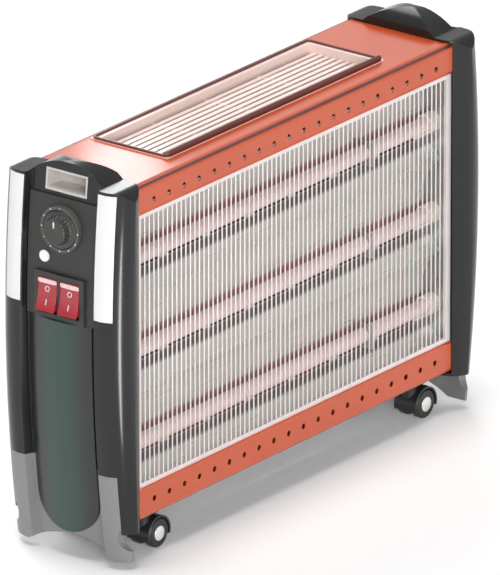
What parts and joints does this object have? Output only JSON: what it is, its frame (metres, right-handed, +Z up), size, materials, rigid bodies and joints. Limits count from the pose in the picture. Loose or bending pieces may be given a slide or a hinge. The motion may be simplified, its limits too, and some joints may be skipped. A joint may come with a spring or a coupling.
{
  "type": "quartz fireplace heater",
  "caption": "Free-standing two-sided quartz radiant heater: orange sheet-metal case with wire guards and tube banks, black bowed end caps with grips, end-mounted controls, swivel casters.",
  "frame": {"origin": "on the floor under the middle of the heater", "axes": "+X along the length away from the control end, +Y from front to rear, +Z up"},
  "size_m": [0.6168, 0.154, 0.417],
  "materials": {
    "orange_enamel": "orange enamel on sheet steel",
    "grille_wire": "bright plated wire",
    "polished_reflector": "polished",
    "quartz": "milky quartz",
    "resistance_wire": "oxidised coil",
    "white_ceramic": "glazed steatite",
    "zinc_sheet": "zinc plated",
    "black_cap": "gloss moulded",
    "grip_grey": "moulded",
    "silver_boot": "silver grey moulded",
    "silver_strip": "bright silver lacquer",
    "green_grey_tongue": "dark green grey moulded",
    "panel_grey": "fine matt texture",
    "control_black": "moulded",
    "dial_ring_grey": "moulded grey",
    "steel_shaft": "turned",
    "red_rocker": "translucent red",
    "lamp_white": "frosted lens",
    "lamp_holder_white": "moulded",
    "caster_tread": "hard tread"
  },
  "bodies": {
    "case": {"top_cover": "orange_enamel", "bottom_tray": "orange_enamel", "top_outlet_grille": "grille_wire", "front_guard": "grille_wire", "rear_guard": "grille_wire", "front_reflector": "polished_reflector", "rear_reflector": "polished_reflector", "front_tube_top": "quartz", "front_tube_middle": "quartz", "front_tube_bottom": "quartz", "rear_tube_top": "quartz", "rear_tube_middle": "quartz", "rear_tube_bottom": "quartz", "front_coils": "resistance_wire", "rear_coils": "resistance_wire", "near_ceramics": "white_ceramic", "far_ceramics": "white_ceramic", "front_tube_clips": "zinc_sheet", "rear_tube_clips": "zinc_sheet", "near_bulkhead": "zinc_sheet", "far_bulkhead": "zinc_sheet", "near_cap": "black_cap", "far_cap": "black_cap", "near_grip": "grip_grey", "far_grip": "grip_grey", "near_boot": "silver_boot", "far_boot": "silver_boot", "near_strips": "silver_strip", "far_strips": "silver_strip", "near_tongue": "green_grey_tongue", "far_tongue": "green_grey_tongue", "control_panel": "panel_grey", "far_panel": "panel_grey", "switch_housing": "panel_grey", "thermostat_body": "control_black", "tilt_switch": "control_black", "cord_gland": "control_black", "caster_sockets": "control_black", "dial_ring": "dial_ring_grey", "pilot_lens": "lamp_white", "lamp_holder": "lamp_holder_white", "terminal_block": "lamp_holder_white"},
    "knob": {"thermostat_knob": "control_black", "thermostat_shaft": "steel_shaft"},
    "rocker_front": {"front_rocker": "red_rocker"},
    "rocker_rear": {"rear_rocker": "red_rocker"},
    "caster_near_front_swivel": {"caster_near_front_hood": "control_black"},
    "caster_near_front_wheelset": {"caster_near_front_wheels": "caster_tread", "caster_near_front_axle": "steel_shaft"},
    "caster_near_rear_swivel": {"caster_near_rear_hood": "control_black"},
    "caster_near_rear_wheelset": {"caster_near_rear_wheels": "caster_tread", "caster_near_rear_axle": "steel_shaft"},
    "caster_far_front_swivel": {"caster_far_front_hood": "control_black"},
    "caster_far_front_wheelset": {"caster_far_front_wheels": "caster_tread", "caster_far_front_axle": "steel_shaft"},
    "caster_far_rear_swivel": {"caster_far_rear_hood": "control_black"},
    "caster_far_rear_wheelset": {"caster_far_rear_wheels": "caster_tread", "caster_far_rear_axle": "steel_shaft"}
  },
  "joints": [
    {"name": "thermostat_turn", "type": "hinge", "parent": "case", "child": "knob", "pos_m": [-0.305, 0, 0.35], "axis": [-1, 0, 0], "range_deg": [-270, 0]},
    {"name": "rocker_front_switch", "type": "hinge", "parent": "case", "child": "rocker_front", "pos_m": [-0.297, -0.0138, 0.279], "axis": [0, -1, 0], "range_deg": [0, 18]},
    {"name": "rocker_rear_switch", "type": "hinge", "parent": "case", "child": "rocker_rear", "pos_m": [-0.297, 0.0138, 0.279], "axis": [0, -1, 0], "range_deg": [0, 18]},
    {"name": "caster_near_front_turn", "type": "hinge", "parent": "case", "child": "caster_near_front_swivel", "pos_m": [-0.222, -0.042, 0.042], "axis": [0, 0, 1], "continuous": true},
    {"name": "caster_near_front_roll", "type": "hinge", "parent": "caster_near_front_swivel", "child": "caster_near_front_wheelset", "pos_m": [-0.213, -0.042, 0.015], "axis": [0, 1, 0], "continuous": true},
    {"name": "caster_near_rear_turn", "type": "hinge", "parent": "case", "child": "caster_near_rear_swivel", "pos_m": [-0.222, 0.042, 0.042], "axis": [0, 0, 1], "continuous": true},
    {"name": "caster_near_rear_roll", "type": "hinge", "parent": "caster_near_rear_swivel", "child": "caster_near_rear_wheelset", "pos_m": [-0.213, 0.042, 0.015], "axis": [0, 1, 0], "continuous": true},
    {"name": "caster_far_front_turn", "type": "hinge", "parent": "case", "child": "caster_far_front_swivel", "pos_m": [0.222, -0.042, 0.042], "axis": [0, 0, 1], "continuous": true},
    {"name": "caster_far_front_roll", "type": "hinge", "parent": "caster_far_front_swivel", "child": "caster_far_front_wheelset", "pos_m": [0.231, -0.042, 0.015], "axis": [0, 1, 0], "continuous": true},
    {"name": "caster_far_rear_turn", "type": "hinge", "parent": "case", "child": "caster_far_rear_swivel", "pos_m": [0.222, 0.042, 0.042], "axis": [0, 0, 1], "continuous": true},
    {"name": "caster_far_rear_roll", "type": "hinge", "parent": "caster_far_rear_swivel", "child": "caster_far_rear_wheelset", "pos_m": [0.231, 0.042, 0.015], "axis": [0, 1, 0], "continuous": true}
  ]
}
